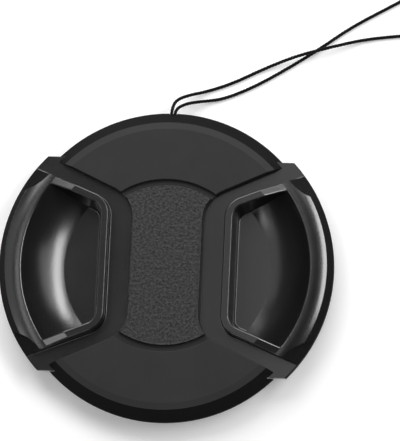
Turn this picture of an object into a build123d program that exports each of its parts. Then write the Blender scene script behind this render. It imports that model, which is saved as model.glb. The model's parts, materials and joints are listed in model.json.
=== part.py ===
from build123d import *
import os
from math import atan2, cos, hypot, isclose, pi, radians, sin, sqrt, tan

# Centre-pinch lens cap with a cord loop, in millimetres. The cap lies on its back, front face up.
# +X points to the right-hand pinch tab and +Y to the cord hole. The origin is on the cap's axis,
# in the plane that the cap rests on.
os.makedirs("parts", exist_ok=True)

# Lens seat and front cover
thread_diameter = 58.0
thread_pitch = 0.75
flange_overlap = 1.0
insert_depth = 4.0
flange_side = 1.0
chamfer_width = 2.2
chamfer_height = 2.28
bevel_width = 1.3
bevel_height = 0.22
front_wall = 1.65
moulded_edge = 0.2
skirt_wall = 1.4
skirt_clearance = 0.8

# Tab openings in the front cover
bridge_width = 14.0
opening_length = 26.1
opening_leg_angle = 24.7
opening_corner = 6.0

# Centre plate, bonded into a recess of the front cover
inlay_radius = 15.5
inlay_groove = 1.1
inlay_thickness = 0.9
inlay_margin = 0.2

# Pinch tabs
tab_travel = 2.2
tab_width = 41.6
tab_rim_width = 3.0
tab_rim_chamfer = 0.15
slide_clearance = 0.15
slide_thickness = 1.1
slide_overlap = 1.3
slide_corner = 1.0
ridge_rise = 1.5
ridge_set_back = 4.15
ridge_length = 24.5
ridge_leg_angle = 21.8
ridge_width = 1.55
ridge_corner = 4.2
ridge_end_length = 4.2
ridge_edge_round = 0.3
ridge_foot_round = 0.25
recess_floor = 2.6
recess_web = 1.0
recess_round = 0.3
recess_draft = 6.0
cove_length = 7.8
cove_foot_slope = 18.0
lip_inset = 4.4
lip_rise = 0.1
lip_round = 9.0
lip_round_width = 3.2
lip_edge_round = 0.7
lip_outer_round = 0.3
corner_set_back = 3.1
corner_drop = 0.1
scallop_radius = 8.8
scallop_depth = 3.0
scallop_angle = 38.8

# Jaws under the tabs
jaw_grip = 0.4
jaw_wall = 1.4
jaw_width = 26.0
jaw_foot = 0.2
jaw_notch_depth = 0.3
jaw_notch_count = 4

# Return springs and the pegs that centre them
spring_diameter = 3.0
spring_wire = 0.4
spring_turns = 9
spring_spacing = 13.0
spring_height = 2.9
spring_end_gap = 0.1
peg_clearance = 0.25
peg_length = 1.8

# Back plate, its slide rests and stops, and the posts that hold it
back_foot = 0.2
back_thickness = 1.0
back_clearance = 0.2
running_gap = 0.35
rail_width = 1.0
rail_length = 6.5
rail_start = 13.0
rail_spacing = 35.2
rest_rib_width = 1.2
rest_rib_spacing = 20.0
trough_wall = 0.8
trough_height = 1.8
trough_clearance = 0.3
stop_thickness = 1.2
stop_width = 1.6
stop_depth = 1.4
stop_spacing = 24.0
stop_gap = 0.1
centre_stop_length = 5.0
post_diameter = 2.4
post_spacing = 18.0
post_inset = 2.6
post_clearance = 0.1
stake_diameter = 3.4
stake_thickness = 0.4

# Cord, its slot in the rim and its stopper knot
cord_diameter = 0.6
cord_exit_height = 4.9
cord_spacing = 0.68
cord_clearance = 0.2
cord_lift = 0.02
cord_bend_share = 0.45
knot_width = 2.6
knot_height = 1.7
knot_length = 1.8
knot_round = 0.25
knot_gap = 0.5

# Heights and radii that follow from the driving dimensions
thread_radius = thread_diameter / 2
flange_radius = thread_radius + flange_overlap
flange_side_top = insert_depth + flange_side
chamfer_top = flange_side_top + chamfer_height
face_height = chamfer_top + bevel_height
cover_underside = face_height - front_wall
chamfer_radius = flange_radius - chamfer_width
face_radius = chamfer_radius - bevel_width
skirt_radius = thread_radius - skirt_clearance
skirt_inner = skirt_radius - skirt_wall
far = 2 * flange_radius

opening_edge = bridge_width / 2
opening_slope = tan(radians(opening_leg_angle))
gap_half = tab_width / 2 + slide_clearance

slide_top = cover_underside - slide_clearance
slide_under = slide_top - slide_thickness
slide_edge = opening_edge - slide_overlap
ridge_top = face_height + ridge_rise
ridge_edge = opening_edge + ridge_set_back
lip_height = face_height + lip_rise
lip_radius = flange_radius - lip_inset
cove_foot_radius = lip_radius - cove_length
ridge_flat_radius = lip_radius - ridge_end_length
tab_side_top = slide_top - tab_rim_chamfer
scallop_reach = flange_radius - scallop_depth + scallop_radius
scallop_x = scallop_reach * cos(radians(scallop_angle))
scallop_y = scallop_reach * sin(radians(scallop_angle))
web_under = recess_floor - recess_web
jaw_radius = thread_radius + jaw_grip - tab_travel
jaw_inner = jaw_radius - jaw_wall

back_top = back_foot + back_thickness
stake_top = back_foot + stake_thickness
post_circle = skirt_inner - post_inset
post_rise = 2 * sqrt(post_circle**2 - (post_spacing / 2) ** 2)
inlay_floor = face_height - inlay_thickness

# A tab is drawn about its own axis, which stands one travel outwards while the tab is at rest
tab_plane = Plane(origin=(tab_travel, 0, 0))
tab_section = Plane(origin=(tab_travel, 0, 0), x_dir=(1, 0, 0), z_dir=(0, -1, 0))
tab_axis = Axis((tab_travel, 0, 0), (0, 0, 1))


def flared_outline(edge, half_length, slope, corner):
    """An outline whose two legs spread towards +X from a straight edge at x = edge."""
    far_half = half_length + slope * (far - edge)
    with BuildSketch() as outline:
        with BuildLine():
            Polyline(
                (edge, -half_length),
                (far, -far_half),
                (far, far_half),
                (edge, half_length),
                close=True,
            )
        make_face()
        fillet(outline.vertices().group_by(Axis.X)[0], corner)
    return outline.sketch


def opening_outline(margin):
    """The right-hand tab opening, seen from the front and widened towards the middle by a margin."""
    half_length = opening_length / 2 - opening_slope * margin
    return flared_outline(opening_edge - margin, half_length, opening_slope, opening_corner)


def is_arc(edge, radius):
    """True for a circular edge of this radius."""
    return edge.geom_type == GeomType.CIRCLE and isclose(edge.radius, radius)


# Front cover: a turned form with two tab openings, an inlay recess, four posts and a cord slot
with BuildPart() as front_cover:
    with BuildSketch(Plane.XZ):
        with BuildLine():
            Polyline(
                (0, cover_underside),
                (skirt_inner, cover_underside),
                (skirt_inner, 0),
                (skirt_radius, 0),
                (skirt_radius, insert_depth),
                (flange_radius, insert_depth),
                (flange_radius, flange_side_top),
                (chamfer_radius, chamfer_top),
                (face_radius, face_height),
                (0, face_height),
                close=True,
            )
        make_face()
    revolve(axis=Axis.Z)
    with BuildSketch(Plane.XY.offset(inlay_floor)):
        Circle(inlay_radius + inlay_groove)
    extrude(amount=inlay_thickness, mode=Mode.SUBTRACT)
    with BuildSketch():
        add(opening_outline(0))
        mirror(about=Plane.YZ)
    extrude(amount=face_height, mode=Mode.SUBTRACT)
    with BuildSketch():
        Rectangle(2 * far, 2 * gap_half)
        Circle(skirt_inner - slide_clearance, mode=Mode.SUBTRACT)
    extrude(amount=cover_underside, mode=Mode.SUBTRACT)
    with BuildSketch(Plane.XY.offset(stake_top)):
        with GridLocations(post_spacing, post_rise, 2, 2):
            Circle(post_diameter / 2)
    extrude(amount=cover_underside - stake_top)
    with BuildSketch(Plane.XY.offset(back_foot)):
        with GridLocations(post_spacing, post_rise, 2, 2):
            Circle(stake_diameter / 2)
    extrude(amount=stake_thickness)
    with BuildSketch(Plane.XZ.offset(-flange_radius)):
        with Locations((0, cord_exit_height)):
            slot_height = cord_diameter + 2 * cord_clearance
            SlotOverall(cord_spacing + slot_height, slot_height)
    extrude(amount=flange_radius - skirt_inner + skirt_wall, mode=Mode.SUBTRACT)
    face_edges = front_cover.edges().group_by(Axis.Z)[-1]
    fillet(face_edges.filter_by(lambda edge: not is_arc(edge, face_radius)), moulded_edge)

# Centre plate: a disc cut back at the tab openings
with BuildPart() as centre_plate:
    with BuildSketch(Plane.XY.offset(inlay_floor)):
        Circle(inlay_radius)
        add(opening_outline(inlay_margin), mode=Mode.SUBTRACT)
        add(mirror(opening_outline(inlay_margin), about=Plane.YZ, mode=Mode.PRIVATE), mode=Mode.SUBTRACT)
    extrude(amount=inlay_thickness)
    fillet(centre_plate.edges().group_by(Axis.Z)[-1], moulded_edge)

# Outlines of the tab: the raised ridge, the finger recess inside it and the sliding plate
ridge_slope = tan(radians(ridge_leg_angle))
ridge_outline = flared_outline(ridge_edge - tab_travel, ridge_length / 2, ridge_slope, ridge_corner)
with BuildSketch() as recess_outline:
    add(ridge_outline)
    offset(amount=-ridge_width)
recess_depth = ridge_top - recess_floor
with BuildSketch() as floor_outline:
    add(recess_outline.sketch)
    offset(amount=-recess_depth * tan(radians(recess_draft)))
slide_half = opening_length / 2 - opening_slope * slide_overlap
slide_half += slide_overlap / cos(radians(opening_leg_angle))
with BuildSketch() as slide_outline:
    add(flared_outline(slide_edge - tab_travel, slide_half, opening_slope, slide_corner))
    Rectangle(2 * far, tab_width, mode=Mode.INTERSECT)

# The cove is an arc that rises from the recess floor to the lip
cove_slope = radians(cove_foot_slope)
cove_chord_slope = atan2(lip_height - recess_floor, lip_radius - cove_foot_radius)
cove_chord = hypot(lip_height - recess_floor, lip_radius - cove_foot_radius)
cove_radius = cove_chord / (2 * sin(cove_chord_slope - cove_slope))
cove_centre = Vector(
    cove_foot_radius - cove_radius * sin(cove_slope),
    recess_floor + cove_radius * cos(cove_slope),
)


def under_cove(radius):
    """A point on the underside of the cove's wall, at this radius from the tab's axis."""
    drop = sqrt((cove_radius + recess_web) ** 2 - (radius - cove_centre.X) ** 2)
    return (radius, cove_centre.Y - drop)


# Finger recess: flat floor with a rounded foot, drafted walls and a coved outer end
with BuildPart() as finger_recess:
    with BuildSketch(tab_plane.offset(recess_floor)):
        add(floor_outline.sketch)
    extrude(amount=recess_depth + ridge_rise, taper=-recess_draft)
    fillet(finger_recess.edges().group_by(Axis.Z)[0], recess_round)
    with BuildSketch(tab_section):
        with BuildLine():
            TangentArc(
                (cove_foot_radius, recess_floor),
                (lip_radius, lip_height),
                tangent=(cos(cove_slope), sin(cove_slope)),
            )
            Polyline(
                (lip_radius, lip_height),
                (lip_radius, far),
                (0, far),
                (0, web_under),
                (cove_foot_radius, web_under),
                (cove_foot_radius, recess_floor),
            )
        make_face()
    revolve(axis=tab_axis, mode=Mode.INTERSECT)

# Hollow under the cove, which keeps the moulding to an even wall
with BuildPart() as cove_hollow:
    with BuildSketch(tab_section):
        hollow_start = cove_foot_radius + recess_web * sin(cove_slope)
        with BuildLine():
            ThreePointArc(
                under_cove(hollow_start),
                under_cove((hollow_start + jaw_inner) / 2),
                under_cove(jaw_inner),
            )
            Polyline(
                under_cove(jaw_inner),
                (jaw_inner, 0),
                (hollow_start, 0),
                under_cove(hollow_start),
            )
        make_face()
    revolve(axis=tab_axis)
    with BuildSketch(tab_plane):
        add(recess_outline.sketch)
    extrude(amount=far, mode=Mode.INTERSECT)

# Rounded lip that the fingers pull on, scalloped at both ends
with BuildPart() as rounded_lip:
    with BuildSketch(tab_section) as lip_profile:
        lip_end = lip_height - lip_round + sqrt(lip_round**2 - lip_round_width**2)
        with BuildLine():
            TangentArc(
                (lip_radius, lip_height),
                (lip_radius + lip_round_width, lip_end),
                tangent=(1, 0),
            )
            Polyline(
                (lip_radius + lip_round_width, lip_end),
                (flange_radius, tab_side_top),
                (lip_radius, tab_side_top),
                (lip_radius, lip_height),
            )
        make_face()
        lip_shoulder = (lip_radius + lip_round_width, lip_end)
        fillet(lip_profile.vertices().sort_by_distance(lip_shoulder)[0], lip_outer_round)
    revolve(axis=tab_axis)
    with BuildSketch(tab_plane):
        add(ridge_outline)
        with Locations((scallop_x, scallop_y), (scallop_x, -scallop_y)):
            Circle(scallop_radius, mode=Mode.SUBTRACT)
    extrude(amount=far, mode=Mode.INTERSECT)

ridge_wall = Pos(tab_travel, 0, slide_top) * ridge_outline.wire()


def on_ridge_wall(edge):
    """True for an edge along the ridge's outer wall."""
    return ridge_wall.distance_to(edge.center()) < slide_clearance


# Right-hand pinch tab: sliding plate, ridge, finger recess, lip, jaw, spring pegs and stop lugs
with BuildPart() as pinch_tab_right:
    with BuildSketch(tab_plane.offset(web_under)):
        add(ridge_outline)
    extrude(amount=ridge_top - web_under)
    with BuildSketch(tab_plane.offset(slide_under)):
        add(slide_outline.sketch)
    extrude(amount=slide_thickness)
    foot_edges = pinch_tab_right.edges().filter_by(lambda edge: isclose(edge.center().Z, slide_top))
    fillet(foot_edges.filter_by(on_ridge_wall), ridge_foot_round)
    with BuildSketch(tab_plane.offset(insert_depth)):
        Circle(flange_radius)
        Circle(flange_radius - tab_rim_width, mode=Mode.SUBTRACT)
        add(slide_outline.sketch, mode=Mode.INTERSECT)
    extrude(amount=slide_top - insert_depth)
    with BuildSketch(tab_section):
        with BuildLine():
            Polyline(
                (0, 0),
                (jaw_radius, 0),
                (jaw_radius, insert_depth),
                (flange_radius, insert_depth),
                (flange_radius, tab_side_top),
                (flange_radius - tab_rim_chamfer, slide_top),
                (flange_radius - corner_set_back, lip_height - corner_drop),
                (lip_radius, lip_height),
                (ridge_flat_radius, ridge_top),
                (0, ridge_top),
                close=True,
            )
        make_face()
    revolve(axis=tab_axis, mode=Mode.INTERSECT)
    add(rounded_lip.part)
    add(finger_recess.part, mode=Mode.SUBTRACT)
    add(cove_hollow.part, mode=Mode.SUBTRACT)
    with BuildSketch(tab_plane.offset(jaw_foot)):
        Circle(jaw_radius)
        Circle(jaw_inner, mode=Mode.SUBTRACT)
        with Locations((jaw_radius, 0)):
            Rectangle(2 * jaw_radius, jaw_width, mode=Mode.INTERSECT)
    extrude(amount=flange_side_top - jaw_foot)
    with BuildSketch(tab_section):
        notch_heights = [jaw_foot + (notch + 1) * thread_pitch for notch in range(jaw_notch_count)]
        with Locations([(jaw_radius, height) for height in notch_heights]):
            Rectangle(sqrt(2) * jaw_notch_depth, sqrt(2) * jaw_notch_depth, rotation=45)
    revolve(axis=tab_axis, mode=Mode.SUBTRACT)
    with BuildSketch(Plane.YZ.offset(ridge_edge)):
        with Locations((spring_spacing / 2, spring_height), (-spring_spacing / 2, spring_height)):
            Circle(spring_diameter / 2 - spring_wire - peg_clearance)
    extrude(amount=-peg_length)
    with BuildSketch(Plane.XY.offset(slide_under - stop_depth)):
        with Locations((slide_edge + stop_thickness / 2, 0)):
            with GridLocations(0, stop_spacing, 1, 2):
                Rectangle(stop_thickness, stop_width)
    extrude(amount=stop_depth)
    lip_arcs = pinch_tab_right.edges().filter_by(lambda edge: is_arc(edge, lip_radius))
    fillet(lip_arcs.sort_by(SortBy.LENGTH)[-1], lip_edge_round)
    crest_height = lip_height + (ridge_top - lip_height) / 4
    crest_edges = pinch_tab_right.edges().filter_by(lambda edge: edge.center().Z > crest_height)
    fillet(crest_edges.filter_by(lambda edge: not is_arc(edge, ridge_flat_radius)), ridge_edge_round)

# Left-hand pinch tab: the mirror image
with BuildPart() as pinch_tab_left:
    mirror(pinch_tab_right.part, about=Plane.YZ)

# Return springs between the two tabs
spring_half = ridge_edge - spring_end_gap
spring_coil_radius = (spring_diameter - spring_wire) / 2
spring_rise = 2 * spring_half - spring_wire


def coil_spring(offset_y):
    """A coil spring along X, between the inner walls of the two tabs."""
    with BuildPart() as spring:
        with BuildLine():
            coil = Helix(
                pitch=spring_rise / spring_turns,
                height=spring_rise,
                radius=spring_coil_radius,
                center=(-spring_rise / 2, offset_y, spring_height),
                direction=(1, 0, 0),
            )
        with BuildSketch(Plane(origin=coil @ 0, z_dir=coil % 0)):
            RegularPolygon(spring_wire / 2, 6)
        sweep(path=coil, is_frenet=True)
    return spring.part


with BuildPart() as return_spring_upper:
    add(coil_spring(spring_spacing / 2))
with BuildPart() as return_spring_lower:
    add(coil_spring(-spring_spacing / 2))

# Back plate: a disc with windows for the jaws, slide rests, spring troughs and stops
rest_reach = ridge_edge - tab_travel - running_gap
slide_rest_height = slide_under - slide_clearance - back_top
stop_face = slide_edge + stop_thickness + stop_gap
with BuildPart() as back_plate:
    with BuildSketch(Plane.XY.offset(back_foot)):
        Circle(skirt_inner - back_clearance)
        with BuildSketch(mode=Mode.SUBTRACT):
            Rectangle(2 * far, jaw_width + 2 * running_gap)
            Circle(jaw_inner - running_gap, mode=Mode.SUBTRACT)
    extrude(amount=back_thickness)
    with BuildSketch(Plane.XY.offset(back_top)):
        with GridLocations(2 * rail_start + rail_length, rail_spacing, 2, 2):
            Rectangle(rail_length, rail_width)
        with GridLocations(0, rest_rib_spacing, 1, 2):
            Rectangle(2 * rest_reach, rest_rib_width)
        with GridLocations(2 * stop_face + stop_thickness, stop_spacing, 2, 2):
            Rectangle(stop_thickness, stop_width)
    extrude(amount=slide_rest_height)
    with BuildSketch(Plane.XY.offset(back_top)):
        trough_offset = spring_diameter + 2 * trough_clearance + trough_wall
        with GridLocations(0, spring_spacing, 1, 2):
            with GridLocations(0, trough_offset, 1, 2):
                Rectangle(2 * rest_reach, trough_wall)
    extrude(amount=trough_height)
    with BuildSketch(Plane.XY.offset(back_top)):
        Rectangle(2 * (slide_edge - tab_travel - stop_gap), centre_stop_length)
    extrude(amount=slide_top - back_top)
    with BuildSketch(Plane.XY.offset(back_foot)):
        with GridLocations(post_spacing, post_rise, 2, 2):
            Circle(post_diameter / 2 + post_clearance)
    extrude(amount=back_thickness, mode=Mode.SUBTRACT)
    with BuildSketch(Plane.XY.offset(back_foot)):
        with GridLocations(post_spacing, post_rise, 2, 2):
            Circle(stake_diameter / 2 + post_clearance)
    extrude(amount=stake_thickness, mode=Mode.SUBTRACT)

# Cord: out of the slot, down to the resting surface, round the far bend of the loop and back in.
# One strand passes over the other in a low hump. The points' y is measured from the rim.
knot_face = skirt_inner - knot_gap
strand = cord_spacing / 2
lying = cord_diameter / 2 + cord_lift
loop_points = [
    (-strand, knot_face - flange_radius, cord_exit_height),
    (-strand, -1.4, cord_exit_height),
    (-strand - 0.05, 0.9, cord_exit_height - 0.1),
    (0.2, 3.0, 3.2),
    (2.3, 4.4, 1.4),
    (6.0, 5.5, lying),
    (11.0, 7.3, lying),
    (17.0, 10.4, lying),
    (23.2, 12.8, 1.5),
    (29.4, 14.9, 1.5),
    (36.0, 16.6, lying),
    (43.0, 17.5, lying),
    (51.0, 18.3, lying),
    (58.5, 20.5, lying),
    (63.6, 24.6, lying),
    (64.0, 29.6, lying),
    (60.2, 32.2, lying),
    (54.0, 30.8, lying),
    (47.5, 27.0, lying),
    (40.5, 23.0, lying),
    (33.2, 19.3, lying),
    (27.0, 14.7, lying),
    (21.0, 10.2, lying),
    (14.8, 6.5, lying),
    (9.0, 4.0, lying),
    (5.0, 3.4, 0.8),
    (2.2, 2.6, 2.3),
    (strand + 0.1, 0.9, cord_exit_height - 0.15),
    (strand, -1.4, cord_exit_height),
    (strand, knot_face - flange_radius, cord_exit_height),
]
cord_points = [(x, flange_radius + y, z) for x, y, z in loop_points]


def cord_radii(points):
    """The largest tangent arc that each corner of the route has room for."""
    corners = [Vector(point) for point in points]
    radii = []
    for before, corner, after in zip(corners, corners[1:], corners[2:]):
        arriving = corner - before
        leaving = after - corner
        half_turn = radians(arriving.get_angle(leaving) / 2)
        radii.append(cord_bend_share * min(arriving.length, leaving.length) / tan(half_turn))
    return radii


bend_radii = cord_radii(cord_points)
print("cord bend radii:", [round(radius, 1) for radius in bend_radii])
with BuildPart() as cord_loop:
    with BuildLine():
        route = FilletPolyline(*cord_points, radius=bend_radii)
    with BuildSketch(Plane(origin=route @ 0, z_dir=route % 0)):
        Circle(cord_diameter / 2)
    sweep(path=route)
section = pi * cord_diameter**2 / 4
print("cord length", round(route.length, 2), "by volume", round(cord_loop.part.volume / section, 2))

# Stopper knot behind the rim, with both cord ends in its outer face
with BuildPart() as cord_knot:
    with BuildSketch(Plane.XZ.offset(-knot_face)):
        with Locations((0, cord_exit_height)):
            SlotOverall(knot_width, knot_height)
    extrude(amount=knot_length)
    fillet(cord_knot.edges().filter_by(Axis.Y, reverse=True), knot_round)

finished = {
    "front_cover": front_cover,
    "centre_plate": centre_plate,
    "pinch_tab_left": pinch_tab_left,
    "pinch_tab_right": pinch_tab_right,
    "return_spring_upper": return_spring_upper,
    "return_spring_lower": return_spring_lower,
    "back_plate": back_plate,
    "cord_loop": cord_loop,
    "cord_knot": cord_knot,
}
for name, piece in finished.items():
    piece.part.label = name
    export_step(piece.part, f"parts/{name}.step")
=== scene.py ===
"""Camera lens cap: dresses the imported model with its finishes, cord and springs, on a studio stage."""

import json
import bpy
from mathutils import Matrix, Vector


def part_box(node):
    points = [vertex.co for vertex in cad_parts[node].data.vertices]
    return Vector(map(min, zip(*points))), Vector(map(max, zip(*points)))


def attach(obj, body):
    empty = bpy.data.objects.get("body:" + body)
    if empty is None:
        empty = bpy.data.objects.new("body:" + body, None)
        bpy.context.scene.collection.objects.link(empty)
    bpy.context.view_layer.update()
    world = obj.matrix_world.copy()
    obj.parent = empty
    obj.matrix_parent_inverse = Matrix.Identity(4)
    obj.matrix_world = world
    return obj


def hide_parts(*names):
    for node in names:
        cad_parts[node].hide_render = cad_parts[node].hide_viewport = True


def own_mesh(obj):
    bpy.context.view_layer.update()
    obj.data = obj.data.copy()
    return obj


bl_info = {
    "name": "Camera lens cap",
    "version": (1, 0, 0),
    "blender": (4, 5, 0),
    "location": "3D View > Sidebar > Lens Cap",
    "description": "Dresses the packed lens cap and sets its studio stage",
    "category": "Object",
}

from math import cos, hypot, radians, sin, tau

import bmesh
import bpy
from bpy.props import FloatProperty, FloatVectorProperty, IntProperty, PointerProperty
from bpy.types import Operator, Panel, PropertyGroup
from mathutils import Matrix, Vector, geometry, noise

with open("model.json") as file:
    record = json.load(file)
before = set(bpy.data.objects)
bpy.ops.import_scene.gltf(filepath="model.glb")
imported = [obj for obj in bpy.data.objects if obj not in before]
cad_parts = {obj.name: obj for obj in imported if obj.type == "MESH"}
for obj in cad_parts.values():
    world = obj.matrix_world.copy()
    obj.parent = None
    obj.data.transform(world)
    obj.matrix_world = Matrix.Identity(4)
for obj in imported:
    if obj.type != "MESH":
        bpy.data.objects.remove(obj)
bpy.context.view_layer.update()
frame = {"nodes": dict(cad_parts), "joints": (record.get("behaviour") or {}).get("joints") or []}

# The cord's route, in metres: out of the slot, round the loop's far bend and back in
CORD_ROUTE = (
    (-0.00034, 0.0263, 0.0049),
    (-0.00034, 0.0286, 0.0049),
    (-0.00032, 0.0309, 0.0048),
    (0.0002, 0.0330, 0.0032),
    (0.0023, 0.0344, 0.0014),
    (0.0060, 0.0355, 0.00035),
    (0.0110, 0.0373, 0.00035),
    (0.0170, 0.0404, 0.00035),
    (0.0232, 0.0428, 0.0015),
    (0.0294, 0.0446, 0.0015),
    (0.0360, 0.0466, 0.00035),
    (0.0430, 0.0475, 0.00035),
    (0.0510, 0.0483, 0.00035),
    (0.0585, 0.0505, 0.00035),
    (0.0636, 0.0546, 0.00035),
    (0.0640, 0.0596, 0.00035),
    (0.0602, 0.0622, 0.00035),
    (0.0540, 0.0608, 0.00035),
    (0.0475, 0.0570, 0.00035),
    (0.0405, 0.0530, 0.00035),
    (0.0335, 0.0490, 0.00035),
    (0.0272, 0.0443, 0.00035),
    (0.0210, 0.0402, 0.00035),
    (0.0148, 0.0365, 0.00035),
    (0.0090, 0.0340, 0.00035),
    (0.0050, 0.0334, 0.0008),
    (0.0022, 0.0326, 0.0023),
    (0.00032, 0.0309, 0.00475),
    (0.00034, 0.0286, 0.0049),
    (0.00034, 0.0263, 0.0049),
)
# The cord's twist: strand sizes as shares of the cord's diameter, and how finely the strands are drawn
STRAND_RADIUS = 0.30
STRAND_OFFSET = 0.275
STRAND_SIDES = 7
STEPS_PER_TURN = 10
# The rim's matt faces, whose darker colour is painted shade: how far their normals point outwards and up,
# and their widths in metres
CHAMFER_SLOPE = (0.66, 0.78)
CHAMFER_RISE = 0.6
CHAMFER_WIDTH = 0.0023
EDGE_SLOPE = 0.98
EDGE_WIDTH = 0.0001
# The part of a noise texture's range that most of its values lie in
NOISE_RANGE = (0.3, 0.7)


class LensCapFinish(PropertyGroup):
    """Colours and gloss of the cap's materials."""

    cover_colour: FloatVectorProperty(
        name="Cover colour",
        description="Black of the front cover and the back plate",
        subtype="COLOR",
        size=4,
        min=0.0,
        max=1.0,
        default=(0.0265, 0.0265, 0.027, 1.0),
    )
    cover_roughness: FloatProperty(
        name="Cover roughness",
        description="Satin of the front cover",
        subtype="FACTOR",
        min=0.0,
        max=1.0,
        default=0.48,
    )
    cover_gloss: FloatProperty(
        name="Cover gloss",
        description="Strength of the front cover's reflections",
        subtype="FACTOR",
        min=0.0,
        max=1.0,
        default=0.18,
    )
    # Darker than the cover's black: partly the rim's matt finish, partly painted shade on the chamfer and
    # the upright edge
    rim_colour_painted_shade: FloatVectorProperty(
        name="Rim colour",
        description="Black of the matt chamfer round the cap",
        subtype="COLOR",
        size=4,
        min=0.0,
        max=1.0,
        default=(0.0088, 0.0088, 0.0092, 1.0),
    )
    rim_roughness: FloatProperty(
        name="Rim roughness",
        description="Matt of the chamfer round the cap",
        subtype="FACTOR",
        min=0.0,
        max=1.0,
        default=0.6,
    )
    rim_gloss: FloatProperty(
        name="Rim gloss",
        description="Strength of the chamfer's reflections",
        subtype="FACTOR",
        min=0.0,
        max=1.0,
        default=0.05,
    )
    tab_colour: FloatVectorProperty(
        name="Tab colour",
        description="Black of the pinch tabs",
        subtype="COLOR",
        size=4,
        min=0.0,
        max=1.0,
        default=(0.008, 0.008, 0.0083, 1.0),
    )
    tab_roughness: FloatProperty(
        name="Tab roughness",
        description="Semi-gloss of the pinch tabs",
        subtype="FACTOR",
        min=0.0,
        max=1.0,
        default=0.20,
    )
    tab_gloss: FloatProperty(
        name="Tab gloss",
        description="Strength of the pinch tabs' reflections",
        subtype="FACTOR",
        min=0.0,
        max=1.0,
        default=1.0,
    )
    plate_colour: FloatVectorProperty(
        name="Centre plate colour",
        description="Black of the grained centre plate",
        subtype="COLOR",
        size=4,
        min=0.0,
        max=1.0,
        default=(0.027, 0.027, 0.0275, 1.0),
    )
    cord_colour: FloatVectorProperty(
        name="Cord colour",
        description="Black of the nylon cord",
        subtype="COLOR",
        size=4,
        min=0.0,
        max=1.0,
        default=(0.0045, 0.0045, 0.0047, 1.0),
    )
    spring_colour: FloatVectorProperty(
        name="Spring colour",
        description="Grey of the spring wire",
        subtype="COLOR",
        size=4,
        min=0.0,
        max=1.0,
        default=(0.56, 0.56, 0.57, 1.0),
    )


class LensCapDetail(PropertyGroup):
    """Sizes of the cord's twist, the centre plate's grain and the springs' wire."""

    cord_length: FloatProperty(
        name="Cord length",
        description="Length of the cord from knot to knot",
        subtype="DISTANCE",
        unit="LENGTH",
        default=0.15845,
    )
    cord_diameter: FloatProperty(
        name="Cord diameter",
        description="Thickness of the twisted cord",
        subtype="DISTANCE",
        unit="LENGTH",
        default=0.0006,
    )
    cord_pitch: FloatProperty(
        name="Cord pitch",
        description="Length of one turn of the cord's twist",
        subtype="DISTANCE",
        unit="LENGTH",
        default=0.0019,
    )
    cord_strands: IntProperty(
        name="Cord strands",
        description="Strands twisted into the cord",
        min=2,
        max=5,
        default=3,
    )
    grain_size: FloatProperty(
        name="Grain size",
        description="Width of a pebble in the centre plate's grain",
        subtype="DISTANCE",
        unit="LENGTH",
        default=0.00044,
    )
    grain_depth: FloatProperty(
        name="Grain depth",
        description="Depth of the grain's furrows",
        subtype="DISTANCE",
        unit="LENGTH",
        default=0.00006,
    )
    spring_wire: FloatProperty(
        name="Spring wire",
        description="Thickness of the return springs' wire",
        subtype="DISTANCE",
        unit="LENGTH",
        default=0.0004,
    )
    spring_turns: FloatProperty(
        name="Spring turns",
        description="Open turns in one half of a return spring",
        default=3.5,
    )


class LensCapStage(PropertyGroup):
    """Camera, floor and the light from all round."""

    azimuth: FloatProperty(
        name="Azimuth",
        description="Direction that the camera stands in, from the cap's lower edge",
        subtype="ANGLE",
        unit="ROTATION",
        default=radians(33.52),
    )
    elevation: FloatProperty(
        name="Elevation",
        description="Height of the camera above the floor",
        subtype="ANGLE",
        unit="ROTATION",
        default=radians(79.13),
    )
    roll: FloatProperty(
        name="Roll",
        description="Turn of the picture about its middle",
        subtype="ANGLE",
        unit="ROTATION",
        default=radians(2.71),
    )
    distance: FloatProperty(
        name="Distance",
        description="From the cap's face to the camera",
        subtype="DISTANCE",
        unit="LENGTH",
        default=0.667,
    )
    picture_height: FloatProperty(
        name="Picture height",
        description="Height of the picture, measured in the plane of the cap's face",
        subtype="DISTANCE",
        unit="LENGTH",
        default=0.0842,
    )
    aim: FloatVectorProperty(
        name="Aim",
        description="Middle of the picture, right of and above the cap's axis",
        subtype="XYZ",
        unit="LENGTH",
        size=2,
        default=(0.00672, 0.00846),
    )
    floor_colour: FloatVectorProperty(
        name="Floor colour",
        description="White of the floor",
        subtype="COLOR",
        size=4,
        min=0.0,
        max=1.0,
        default=(0.93, 0.93, 0.93, 1.0),
    )
    floor_glow: FloatProperty(
        name="Floor glow",
        description="Share of white that the floor near the cap shows by itself, where it is seen",
        subtype="FACTOR",
        min=0.0,
        max=1.0,
        default=0.20,
    )
    glow_start: FloatProperty(
        name="Glow start",
        description="Distance from the cap's axis at which the floor's glow begins to rise",
        subtype="DISTANCE",
        unit="LENGTH",
        default=0.09,
    )
    glow_end: FloatProperty(
        name="Glow end",
        description="Distance from the cap's axis at which the floor's glow is white",
        subtype="DISTANCE",
        unit="LENGTH",
        default=0.42,
    )
    fill: FloatProperty(
        name="Fill",
        description="Strength of the even light from all round",
        min=0.0,
        default=0.04,
    )


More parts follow.
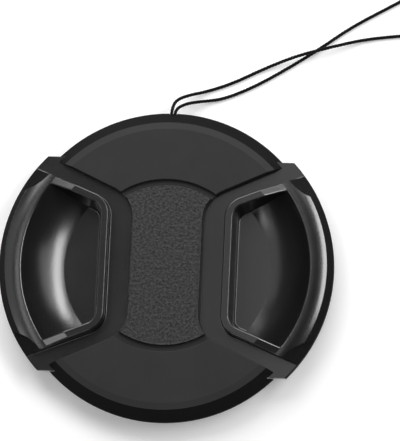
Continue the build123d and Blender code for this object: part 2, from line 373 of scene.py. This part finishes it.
# Softboxes: name, tilt from straight above and bearing from +X in degrees, distance, width and height
# in metres, spin about the lamp's own axis in degrees, and power in watts
LAMPS = (
    ("back_softbox", 44.5, 99.0, 0.50, 0.48, 0.36, 0.0, 2.10),
    ("right_softbox", 37.5, 23.5, 0.60, 0.39, 0.10, -19.0, 1.18),
    ("outer_right_softbox", 49.5, 20.0, 0.60, 0.32, 0.17, 0.0, 0.20),
    ("overhead_softbox", 10.0, 84.0, 0.60, 0.105, 0.26, 0.0, 0.075),
    ("left_softbox", 40.0, 182.0, 0.60, 0.50, 0.22, 0.0, 0.20),
    ("lower_left_softbox", 40.0, 202.0, 0.60, 0.12, 0.08, 0.0, 0.08),
    ("upper_left_softbox", 50.0, 134.0, 0.60, 0.12, 0.12, 0.0, 0.036),
    ("left_strip", 21.0, 168.0, 0.60, 0.20, 0.04, 0.0, 0.085),
    ("front_softbox", 34.0, 258.0, 0.60, 0.36, 0.20, 0.0, 0.42),
)


def shown_mesh(name, mesh, body, material):
    """An object for a finished mesh, which moves with a body of the cap."""
    data = bpy.data.meshes.new(name)
    mesh.to_mesh(data)
    mesh.free()
    data.shade_smooth()
    data.materials.append(material)
    piece = bpy.data.objects.new(name, data)
    bpy.context.scene.collection.objects.link(piece)
    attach(piece, body)
    return piece


def carried_frames(points):
    """The direction of a line at each point, with two cross directions carried along it."""
    frames = []
    side = None
    for place in range(len(points)):
        ahead = points[min(place + 1, len(points) - 1)]
        along = (ahead - points[max(place - 1, 0)]).normalized()
        side = along.orthogonal() if side is None else side - along * side.dot(along)
        side = side.normalized()
        frames.append((along, side, along.cross(side)))
    return frames


def add_tube(mesh, points, radius, sides):
    """A closed round tube along a line of points."""
    rings = []
    for point, (_, side, across) in zip(points, carried_frames(points)):
        ring = []
        for corner in range(sides):
            angle = tau * corner / sides
            ring.append(mesh.verts.new(point + radius * (cos(angle) * side + sin(angle) * across)))
        rings.append(ring)
    for ring, following in zip(rings, rings[1:]):
        for corner in range(sides):
            beside = (corner + 1) % sides
            mesh.faces.new((ring[corner], ring[beside], following[beside], following[corner]))
    mesh.faces.new(list(reversed(rings[0])))
    mesh.faces.new(rings[-1])


def even_points(points, step):
    """Points at even steps along a line."""
    spaced = [points[0].copy()]
    travelled = 0.0
    due = step
    for start, end in zip(points, points[1:]):
        run = (end - start).length
        while travelled + run >= due:
            spaced.append(start.lerp(end, (due - travelled) / run))
            due += step
        travelled += run
    return spaced


def smooth_line(name, route):
    """Points read from the smooth spline that a route's points control."""
    curve = bpy.data.curves.new(name, "CURVE")
    curve.dimensions = "3D"
    curve.resolution_u = 24
    spline = curve.splines.new("NURBS")
    spline.points.add(len(route) - 1)
    for point, place in zip(spline.points, route):
        point.co = (*place, 1.0)
    spline.order_u = 3
    spline.use_endpoint_u = True
    guide = bpy.data.objects.new(name, curve)
    bpy.context.scene.collection.objects.link(guide)
    line = bpy.data.meshes.new_from_object(guide)
    points = [vertex.co.copy() for vertex in line.vertices]
    bpy.data.objects.remove(guide)
    bpy.data.curves.remove(curve)
    bpy.data.meshes.remove(line)
    return points


def twisted_cord(points, detail):
    """A mesh of strands that wind round each other along a line of points."""
    strand_radius = STRAND_RADIUS * detail.cord_diameter
    strand_offset = STRAND_OFFSET * detail.cord_diameter
    spaced = even_points(points, detail.cord_pitch / STEPS_PER_TURN)
    frames = carried_frames(spaced)
    mesh = bmesh.new()
    for strand in range(detail.cord_strands):
        line = []
        for place, (point, (_, side, across)) in enumerate(zip(spaced, frames)):
            angle = tau * (place / STEPS_PER_TURN + strand / detail.cord_strands)
            line.append(point + strand_offset * (cos(angle) * side + sin(angle) * across))
        add_tube(mesh, line, strand_radius, STRAND_SIDES)
    return mesh


def plain_material(name):
    """A new node material, its node tree and its shader."""
    material = bpy.data.materials.new(name)
    material.use_nodes = True
    tree = material.node_tree
    return material, tree, tree.nodes["Principled BSDF"]


def add_noise(tree, scale, detail, roughness=0.5):
    """Noise laid over the object, with a scale in features per metre."""
    place = tree.nodes.new("ShaderNodeTexCoord")
    texture = tree.nodes.new("ShaderNodeTexNoise")
    texture.inputs["Scale"].default_value = scale
    texture.inputs["Detail"].default_value = detail
    texture.inputs["Roughness"].default_value = roughness
    tree.links.new(place.outputs["Object"], texture.inputs["Vector"])
    return texture.outputs["Fac"]


def spread(tree, factor, low, high):
    """Spreads a noise between two values."""
    reach = tree.nodes.new("ShaderNodeMapRange")
    reach.inputs["From Min"].default_value = NOISE_RANGE[0]
    reach.inputs["From Max"].default_value = NOISE_RANGE[1]
    reach.inputs["To Min"].default_value = low
    reach.inputs["To Max"].default_value = high
    tree.links.new(factor, reach.inputs["Value"])
    return reach.outputs["Result"]


def tint(tree, factor, colour, change):
    """A colour that a noise makes darker and lighter by a share."""
    ramp = tree.nodes.new("ShaderNodeValToRGB")
    for end, place, strength in zip(ramp.color_ramp.elements, NOISE_RANGE, (1 - change, 1 + change)):
        end.position = place
        end.color = (*[value * strength for value in colour[:3]], 1.0)
    tree.links.new(factor, ramp.inputs["Fac"])
    return ramp.outputs["Color"]


def emboss(tree, factor, depth):
    """A surface direction that follows a noise as its height."""
    bump = tree.nodes.new("ShaderNodeBump")
    bump.inputs["Strength"].default_value = 1.0
    bump.inputs["Distance"].default_value = depth
    tree.links.new(factor, bump.inputs["Height"])
    return bump.outputs["Normal"]


def moulded_plastic(name, colour, roughness, gloss):
    """Black moulded plastic: faint clouds in its colour and sheen, and the mould's fine texture."""
    colour_change = 0.08
    sheen_change = 0.012
    texture_depth = 0.0000025
    material, tree, shader = plain_material(name)
    clouds = add_noise(tree, scale=140.0, detail=4.0, roughness=0.6)
    texture = add_noise(tree, scale=9000.0, detail=2.0)
    tree.links.new(tint(tree, clouds, colour, colour_change), shader.inputs["Base Color"])
    sheen = spread(tree, clouds, roughness - sheen_change, roughness + sheen_change)
    tree.links.new(sheen, shader.inputs["Roughness"])
    tree.links.new(emboss(tree, texture, texture_depth), shader.inputs["Normal"])
    shader.inputs["Specular IOR Level"].default_value = gloss
    return material


def grained_plastic(name, colour):
    """Plastic with a fine leather grain: the pebbles are in the mesh, and this adds speckles and pores."""
    colour_change = 0.65
    roughness = (0.42, 0.54)
    pore_depth = 0.000006
    material, tree, shader = plain_material(name)
    speckle = add_noise(tree, scale=2000.0, detail=1.0)
    pores = add_noise(tree, scale=6000.0, detail=3.0, roughness=0.7)
    tree.links.new(tint(tree, speckle, colour, colour_change), shader.inputs["Base Color"])
    tree.links.new(spread(tree, pores, *roughness), shader.inputs["Roughness"])
    tree.links.new(emboss(tree, pores, pore_depth), shader.inputs["Normal"])
    shader.inputs["Specular IOR Level"].default_value = 0.3
    return material


def nylon(name, colour):
    """Black nylon: fine fibres and a soft sheen."""
    colour_change = 0.35
    roughness = (0.6, 0.78)
    fibre_depth = 0.00001
    material, tree, shader = plain_material(name)
    fibres = add_noise(tree, scale=16000.0, detail=2.0)
    tree.links.new(tint(tree, fibres, colour, colour_change), shader.inputs["Base Color"])
    tree.links.new(spread(tree, fibres, *roughness), shader.inputs["Roughness"])
    tree.links.new(emboss(tree, fibres, fibre_depth), shader.inputs["Normal"])
    shader.inputs["Specular IOR Level"].default_value = 0.14
    return material


def spring_steel(name, colour):
    """Drawn spring wire: bright steel with fine marks."""
    colour_change = 0.12
    roughness = (0.22, 0.38)
    material, tree, shader = plain_material(name)
    marks = add_noise(tree, scale=7000.0, detail=3.0)
    tree.links.new(tint(tree, marks, colour, colour_change), shader.inputs["Base Color"])
    tree.links.new(spread(tree, marks, *roughness), shader.inputs["Roughness"])
    shader.inputs["Metallic"].default_value = 1.0
    return material


def finish_node(name, material):
    """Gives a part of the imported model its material."""
    data = frame["nodes"][name].data
    data.materials.clear()
    data.materials.append(material)


def on_rim(face, axis_x, rim_radius):
    """True for a face of the chamfer or the upright edge round the cap, about an axis at this x."""
    radius = hypot(face.center.x - axis_x, face.center.y)
    outwards = (face.normal.x * (face.center.x - axis_x) + face.normal.y * face.center.y) / radius
    sloped = CHAMFER_SLOPE[0] < outwards < CHAMFER_SLOPE[1] and face.normal.z > CHAMFER_RISE
    chamfered = sloped and radius > rim_radius - CHAMFER_WIDTH
    upright = outwards > EDGE_SLOPE and radius > rim_radius - EDGE_WIDTH
    return chamfered or upright


def two_finishes(name, node, body, face_finish, rim_finish_painted_shade, axis_x):
    """A copy of a part in its place, with one finish on its faces and another round its rim, whose darker
    colour paints shade on the rim.
    """
    data = frame["nodes"][node].data.copy()
    data.materials.clear()
    data.materials.append(face_finish)
    data.materials.append(rim_finish_painted_shade)
    rim_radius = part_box("front_cover")[1].y
    for face in data.polygons:
        face.material_index = int(on_rim(face, axis_x, rim_radius))
    piece = bpy.data.objects.new(name, data)
    bpy.context.scene.collection.objects.link(piece)
    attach(piece, body)
    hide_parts(node)


class LENSCAP_OT_stage(Operator):
    """Set the camera, the floor and the lamps"""

    bl_idname = "lenscap.stage"
    bl_label = "Studio stage"

    def execute(self, context):
        stage = context.scene.lens_cap_stage
        self.set_camera(context.scene, stage)
        self.lay_floor(stage)
        self.hang_lamps()
        self.set_world(context.scene, stage)
        context.scene.view_settings.view_transform = "Standard"
        return {"FINISHED"}

    def set_camera(self, scene, stage):
        """Looks at the cap as the photograph does."""
        towards = Vector((
            sin(stage.azimuth) * cos(stage.elevation),
            -cos(stage.azimuth) * cos(stage.elevation),
            sin(stage.elevation),
        ))
        level = Vector((0, 1, 0)).cross(towards).normalized()
        upright = towards.cross(level)
        across = cos(stage.roll) * level + sin(stage.roll) * upright
        up = cos(stage.roll) * upright - sin(stage.roll) * level
        face = Vector((0, 0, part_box("front_cover")[1].z))
        place = face + stage.distance * towards
        aimed_at = face + stage.aim[0] * across + stage.aim[1] * up
        back = (place - aimed_at).normalized()
        across = up.cross(back).normalized()
        up = back.cross(across)
        lens = bpy.data.cameras.new("studio_camera")
        lens.sensor_width = 36.0
        lens.lens = lens.sensor_width * (place - aimed_at).length / stage.picture_height
        lens.clip_start = 0.01
        camera = bpy.data.objects.new("studio_camera", lens)
        camera.matrix_world = Matrix.Translation(place) @ Matrix((across, up, back)).transposed().to_4x4()
        scene.collection.objects.link(camera)
        scene.camera = camera

    def lay_floor(self, stage):
        """A wide white floor."""
        reach = 6.0
        tone_change = 0.004
        mesh = bmesh.new()
        bmesh.ops.create_circle(mesh, cap_ends=True, segments=64, radius=reach)
        data = bpy.data.meshes.new("studio_floor")
        mesh.to_mesh(data)
        mesh.free()
        material, tree, shader = plain_material("white_floor")
        tone = add_noise(tree, scale=30.0, detail=2.0)
        tree.links.new(tint(tree, tone, stage.floor_colour, tone_change), shader.inputs["Base Color"])
        shader.inputs["Roughness"].default_value = 0.9
        shader.inputs["Specular IOR Level"].default_value = 0.0
        shader.inputs["Emission Color"].default_value = (1.0, 1.0, 1.0, 1.0)
        tree.links.new(self.seen_glow(tree, stage), shader.inputs["Emission Strength"])
        data.materials.append(material)
        floor = bpy.data.objects.new("studio_floor", data)
        bpy.context.scene.collection.objects.link(floor)

    def seen_glow(self, tree, stage):
        """A glow that lifts the floor's white where it is seen, most of all far from the cap."""
        place = tree.nodes.new("ShaderNodeTexCoord")
        away = tree.nodes.new("ShaderNodeVectorMath")
        away.operation = "LENGTH"
        tree.links.new(place.outputs["Object"], away.inputs[0])
        rise = tree.nodes.new("ShaderNodeMapRange")
        rise.inputs["From Min"].default_value = stage.glow_start
        rise.inputs["From Max"].default_value = stage.glow_end
        rise.inputs["To Min"].default_value = stage.floor_glow
        rise.inputs["To Max"].default_value = 1.0
        tree.links.new(away.outputs["Value"], rise.inputs["Value"])
        ray = tree.nodes.new("ShaderNodeLightPath")
        seen = ray.outputs["Is Camera Ray"]
        for kind in ("Is Glossy Ray", "Is Transmission Ray"):
            either = tree.nodes.new("ShaderNodeMath")
            either.operation = "MAXIMUM"
            tree.links.new(seen, either.inputs[0])
            tree.links.new(ray.outputs[kind], either.inputs[1])
            seen = either.outputs["Value"]
        glow = tree.nodes.new("ShaderNodeMath")
        glow.operation = "MULTIPLY"
        tree.links.new(seen, glow.inputs[0])
        tree.links.new(rise.outputs["Result"], glow.inputs[1])
        return glow.outputs["Value"]

    def hang_lamps(self):
        """Softboxes that face the cap."""
        for name, tilt, bearing, distance, width, height, spin, power in LAMPS:
            lamp = bpy.data.lights.new(name, "AREA")
            lamp.shape = "RECTANGLE"
            lamp.size = width
            lamp.size_y = height
            lamp.energy = power
            hung = bpy.data.objects.new(name, lamp)
            away = Vector((
                sin(radians(tilt)) * cos(radians(bearing)),
                sin(radians(tilt)) * sin(radians(bearing)),
                cos(radians(tilt)),
            ))
            facing = away.to_track_quat("Z", "Y").to_matrix().to_4x4()
            turned = facing @ Matrix.Rotation(radians(spin), 4, "Z")
            hung.matrix_world = Matrix.Translation(distance * away) @ turned
            hung.visible_camera = False
            bpy.context.scene.collection.objects.link(hung)

    def set_world(self, scene, stage):
        """Even grey light from all round."""
        world = bpy.data.worlds.new("studio_world")
        world.use_nodes = True
        sky = world.node_tree.nodes["Background"]
        sky.inputs["Color"].default_value = (1.0, 1.0, 1.0, 1.0)
        sky.inputs["Strength"].default_value = stage.fill
        scene.world = world


class LENSCAP_OT_cord_knot(Operator):
    """Tie the stopper knot behind the rim"""

    bl_idname = "lenscap.cord_knot"
    bl_label = "Cord knot"

    def execute(self, context):
        detail = context.scene.lens_cap_detail
        low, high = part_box("cord_knot")
        middle = (low + high) / 2
        room = (high - low) / 2 - Vector((1, 1, 1)) * detail.cord_diameter / 2
        steps = 120
        # Half the spans of the trefoil curve, and the lift that brings its middle to the knot's
        half_width = 2.76
        half_height = 2.53
        lift = 0.47
        line = []
        for step in range(steps + 1):
            turn = tau * step / steps
            across = (sin(turn) + 2 * sin(2 * turn)) / half_width
            along = sin(3 * turn)
            up = (cos(turn) - 2 * cos(2 * turn) + lift) / half_height
            line.append(middle + Vector((room.x * across, room.y * along, room.z * up)))
        material = nylon("black_nylon", context.scene.lens_cap_finish.cord_colour)
        mesh = twisted_cord(line, detail)
        knot = shown_mesh("tied_cord_knot", mesh, "cap_body", material)
        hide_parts("cord_knot")
        return {"FINISHED"}


class LENSCAP_OT_cord_loop(Operator):
    """Twist the cord and lay it along its route"""

    bl_idname = "lenscap.cord_loop"
    bl_label = "Cord loop"

    def execute(self, context):
        detail = context.scene.lens_cap_detail
        line = smooth_line("cord_line", CORD_ROUTE)
        mesh = twisted_cord(line, detail)
        material = bpy.data.materials["black_nylon"]
        cord = shown_mesh("twisted_cord_loop", mesh, "cap_body", material)
        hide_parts("cord_loop")
        return {"FINISHED"}


class LENSCAP_OT_front_cover(Operator):
    """Finish the front cover and the back plate"""

    bl_idname = "lenscap.front_cover"
    bl_label = "Front cover and back plate"

    def execute(self, context):
        finish = context.scene.lens_cap_finish
        satin = moulded_plastic(
            "satin_cover_plastic", finish.cover_colour, finish.cover_roughness, finish.cover_gloss
        )
        # The matt rim finish is darker than the satin: its colour is partly a matt black and partly
        # painted shade on the chamfer
        matt = moulded_plastic(
            "matt_rim_plastic_painted_shade", finish.rim_colour_painted_shade, finish.rim_roughness, finish.rim_gloss
        )
        axis_x = 0.0
        two_finishes(
            "finished_front_cover", "front_cover", "cap_body", satin, matt, axis_x
        )
        finish_node("back_plate", satin)
        return {"FINISHED"}


class LENSCAP_OT_centre_plate(Operator):
    """Press the leather grain into the centre plate"""

    bl_idname = "lenscap.centre_plate"
    bl_label = "Grained centre plate"

    def execute(self, context):
        detail = context.scene.lens_cap_detail
        finish = context.scene.lens_cap_finish
        same_point = 1e-7
        same_level = 1e-6
        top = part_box("centre_plate")[1].z
        mesh = bmesh.new()
        mesh.from_mesh(frame["nodes"]["centre_plate"].data)
        bmesh.ops.remove_doubles(mesh, verts=mesh.verts[:], dist=same_point)
        flat = [face for face in mesh.faces if all(abs(v.co.z - top) < same_level for v in face.verts)]
        bmesh.ops.delete(mesh, geom=flat, context="FACES_ONLY")
        loose = [edge for edge in mesh.edges if not edge.link_faces]
        bmesh.ops.delete(mesh, geom=loose, context="EDGES")
        rim = [edge for edge in mesh.edges if edge.is_boundary]
        self.press_grain(mesh, rim, top, detail)
        bmesh.ops.recalc_face_normals(mesh, faces=mesh.faces[:])
        material = grained_plastic("grained_plate_plastic", finish.plate_colour)
        plate = shown_mesh("grained_centre_plate", mesh, "cap_body", material)
        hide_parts("centre_plate")
        return {"FINISHED"}

    def press_grain(self, mesh, rim, top, detail):
        """Fills the plate's rim with a fine net and lowers the furrows between the pebbles."""
        corners = list(dict.fromkeys(vertex for edge in rim for vertex in edge.verts))
        number = {vertex: place for place, vertex in enumerate(corners)}
        outline = [Vector((vertex.co.x, vertex.co.y)) for vertex in corners]
        edges = [(number[edge.verts[0]], number[edge.verts[1]]) for edge in rim]
        net = self.net_inside([(outline[start], outline[end]) for start, end in edges], detail.grain_size)
        inside_only = 1
        same_point = 1e-9
        points, _, faces, origins, _, _ = geometry.delaunay_2d_cdt(
            outline + net, edges, [], inside_only, same_point
        )
        made = []
        for point, origin in zip(points, origins):
            if origin and origin[0] < len(corners):
                made.append(corners[origin[0]])
            else:
                drop = detail.grain_depth * self.furrow(point, detail.grain_size)
                made.append(mesh.verts.new((point.x, point.y, top - drop)))
        for face in faces:
            try:
                mesh.faces.new([made[place] for place in face])
            except ValueError:
                # The face is there already
                continue

    def net_inside(self, segments, grain_size):
        """Points of a triangular net, inside an outline and a little away from it."""
        steps_per_pebble = 3.4
        # In steps of the net
        row_height = 0.866
        edge_margin = 0.6
        low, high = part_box("centre_plate")
        step = grain_size / steps_per_pebble
        rows = int((high.y - low.y) / (row_height * step)) + 1
        columns = int((high.x - low.x) / step) + 1
        net = []
        for row in range(rows):
            y = low.y + row_height * step * row
            crossings = []
            for start, end in segments:
                if (start.y > y) != (end.y > y):
                    crossings.append(start.x + (y - start.y) * (end.x - start.x) / (end.y - start.y))
            crossings.sort()
            for column in range(columns):
                x = low.x + step * (column + 0.5 * (row % 2))
                inside = sum(1 for crossing in crossings if crossing < x) % 2
                if inside and min(abs(crossing - x) for crossing in crossings) > edge_margin * step:
                    net.append(Vector((x, y)))
        return net

    def furrow(self, point, size):
        """Depth of the grain at a point, from 0 on a pebble's crown to 1 in the furrow beside it."""
        # Lengths are in pebbles
        wander = 0.35
        furrow_width = 0.45
        cell_level = 0.37
        wander_scale = 0.7
        swell_scale = 0.31
        swell_share = 0.35
        bent = Vector((point.x, point.y, 0.0)) / size
        bent += wander * noise.noise_vector(wander_scale * bent)
        distances, _ = noise.voronoi(Vector((bent.x, bent.y, cell_level)))
        crown = min(1.0, (distances[1] - distances[0]) / furrow_width)
        swell = 0.5 + 0.5 * noise.noise(swell_scale * bent)
        return (1.0 - crown) * (1.0 - swell_share + swell_share * swell)


class LENSCAP_OT_pinch_tabs(Operator):
    """Finish the pinch tabs"""

    bl_idname = "lenscap.pinch_tabs"
    bl_label = "Pinch tabs"

    def execute(self, context):
        finish = context.scene.lens_cap_finish
        gloss = moulded_plastic(
            "semi_gloss_tab_plastic", finish.tab_colour, finish.tab_roughness, finish.tab_gloss
        )
        # The tabs' chamfer facets take the same darker matt finish, whose colour paints shade on them
        matt = bpy.data.materials["matt_rim_plastic_painted_shade"]
        for side, outwards in (("left", -1), ("right", 1)):
            joint = next(joint for joint in frame["joints"] if joint["name"] == side + "_tab_slide")
            axis_x = outwards * joint["range_m"][1]
            node = "pinch_tab_" + side
            two_finishes("finished_" + node, node, side + "_tab", gloss, matt, axis_x)
        return {"FINISHED"}


class LENSCAP_OT_return_springs(Operator):
    """Wind the return springs, each in two halves"""

    bl_idname = "lenscap.return_springs"
    bl_label = "Return springs"

    def execute(self, context):
        wire_sides = 8
        detail = context.scene.lens_cap_detail
        material = spring_steel("drawn_spring_steel", context.scene.lens_cap_finish.spring_colour)
        for node in ("return_spring_upper", "return_spring_lower"):
            low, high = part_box(node)
            middle = (low + high) / 2
            coil_radius = (high.z - low.z - detail.spring_wire) / 2
            for side, joint in ((1, "right_tab_slide"), (-1, "left_tab_slide")):
                mesh = bmesh.new()
                line = self.half_coil(middle, coil_radius, side * (high.x - middle.x), detail)
                add_tube(mesh, line, detail.spring_wire / 2, wire_sides)
                name = node + ("_right_half" if side > 0 else "_left_half")
                half = shown_mesh(name, mesh, "cap_body", material)
                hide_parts(node)
                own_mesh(half)
        return {"FINISHED"}

    def half_coil(self, middle, radius, reach, detail):
        """The wire's line from the spring's middle to one end, where its last turn lies closed."""
        steps_per_turn = 18
        closed_turns = 1.0
        side = 1 if reach > 0 else -1
        run = abs(reach) - detail.spring_wire * (closed_turns + 0.5)
        line = []
        for step in range(int(steps_per_turn * (detail.spring_turns + closed_turns)) + 1):
            turn = step / steps_per_turn
            if turn <= detail.spring_turns:
                along = run * turn / detail.spring_turns
            else:
                along = run + detail.spring_wire * (turn - detail.spring_turns)
            angle = tau * turn
            line.append(middle + Vector((side * along, side * radius * sin(angle), radius * cos(angle))))
        return line


class LENSCAP_PT_sidebar(Panel):
    """Lists the cap's pieces and their settings"""

    bl_idname = "LENSCAP_PT_sidebar"
    bl_label = "Lens Cap"
    bl_space_type = "VIEW_3D"
    bl_region_type = "UI"
    bl_category = "Lens Cap"

    def draw(self, context):
        for operator in OPERATORS:
            self.layout.operator(operator.bl_idname)
        for group in SETTINGS:
            box = self.layout.box()
            values = getattr(context.scene, group)
            for name in values.__annotations__:
                box.prop(values, name)


SETTINGS = {
    "lens_cap_stage": LensCapStage,
    "lens_cap_finish": LensCapFinish,
    "lens_cap_detail": LensCapDetail,
}
OPERATORS = (
    LENSCAP_OT_stage,
    LENSCAP_OT_cord_knot,
    LENSCAP_OT_cord_loop,
    LENSCAP_OT_front_cover,
    LENSCAP_OT_centre_plate,
    LENSCAP_OT_pinch_tabs,
    LENSCAP_OT_return_springs,
)


def register():
    """Adds the settings, the operators and the sidebar."""
    for name, group in SETTINGS.items():
        bpy.utils.register_class(group)
        setattr(bpy.types.Scene, name, PointerProperty(type=group))
    for operator in OPERATORS:
        bpy.utils.register_class(operator)
    bpy.utils.register_class(LENSCAP_PT_sidebar)


def unregister():
    """Takes them away again."""
    bpy.utils.unregister_class(LENSCAP_PT_sidebar)
    for operator in reversed(OPERATORS):
        bpy.utils.unregister_class(operator)
    for name, group in SETTINGS.items():
        delattr(bpy.types.Scene, name)
        bpy.utils.unregister_class(group)


def main():
    """Makes the pieces in order."""
    register()
    bpy.ops.lenscap.stage()
    bpy.ops.lenscap.cord_knot()
    bpy.ops.lenscap.cord_loop()
    bpy.ops.lenscap.front_cover()
    bpy.ops.lenscap.centre_plate()
    bpy.ops.lenscap.pinch_tabs()
    bpy.ops.lenscap.return_springs()


if __name__ == "__main__":
    main()
